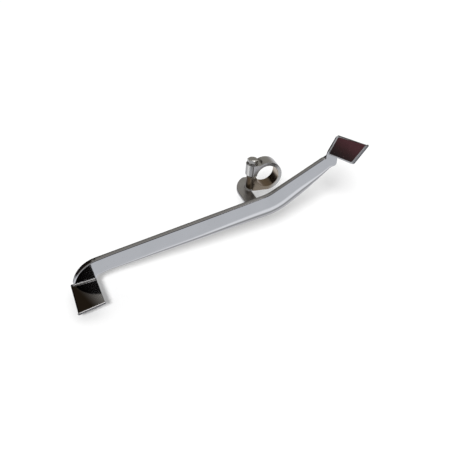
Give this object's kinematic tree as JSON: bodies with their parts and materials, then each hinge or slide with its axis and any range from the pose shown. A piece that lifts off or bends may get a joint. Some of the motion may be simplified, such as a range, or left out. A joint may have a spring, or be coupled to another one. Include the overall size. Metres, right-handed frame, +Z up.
{
  "type": "gear shift lever",
  "caption": "Chromed heel-and-toe gear shift lever with a foot pad at each end and a split clamp hub on a side arm.",
  "frame": {"origin": "centre of the clamp bore, half way along the hub's width", "axes": "+X towards the heel pad, +Y along the shift shaft towards the engine, +Z up along the pinch bolt"},
  "size_m": [0.2354, 0.0926, 0.1237],
  "materials": {
    "blade_chrome": "polished chrome with fine scratches",
    "pad_chrome": "polished chrome, scuffed on the tread",
    "hub_chrome": "satin chrome over a machined forging",
    "weld_chrome": "chrome over weld beads",
    "bolt_steel": "bright zinc plated",
    "washer_steel": "dull zinc plated",
    "facing_red": "glossy dark red, scuffed"
  },
  "bodies": {
    "lever": {"blade": "blade_chrome", "clamp_hub": "hub_chrome", "bracket_arm": "hub_chrome", "toe_pad": "pad_chrome", "heel_pad": "pad_chrome", "heel_pad_facing": "facing_red", "toe_pad_weld": "weld_chrome", "heel_pad_weld": "weld_chrome", "arm_blade_weld": "weld_chrome", "arm_hub_weld": "weld_chrome"},
    "washer": {"bolt_washer": "washer_steel"},
    "bolt": {"pinch_bolt": "bolt_steel"}
  },
  "joints": [
    {"name": "pinch_bolt_travel", "type": "slide", "parent": "lever", "child": "washer", "axis": [0, 0, 1], "range_m": [0, 0.0024]},
    {"name": "pinch_bolt_turn", "type": "hinge", "parent": "washer", "child": "bolt", "pos_m": [-0.0127, 0, 0], "axis": [0, 0, 1], "range_deg": [0, 1080]}
  ],
  "couplings": [
    {"joint": "pinch_bolt_turn", "follows": "pinch_bolt_travel", "rad_per_m": 7854}
  ]
}
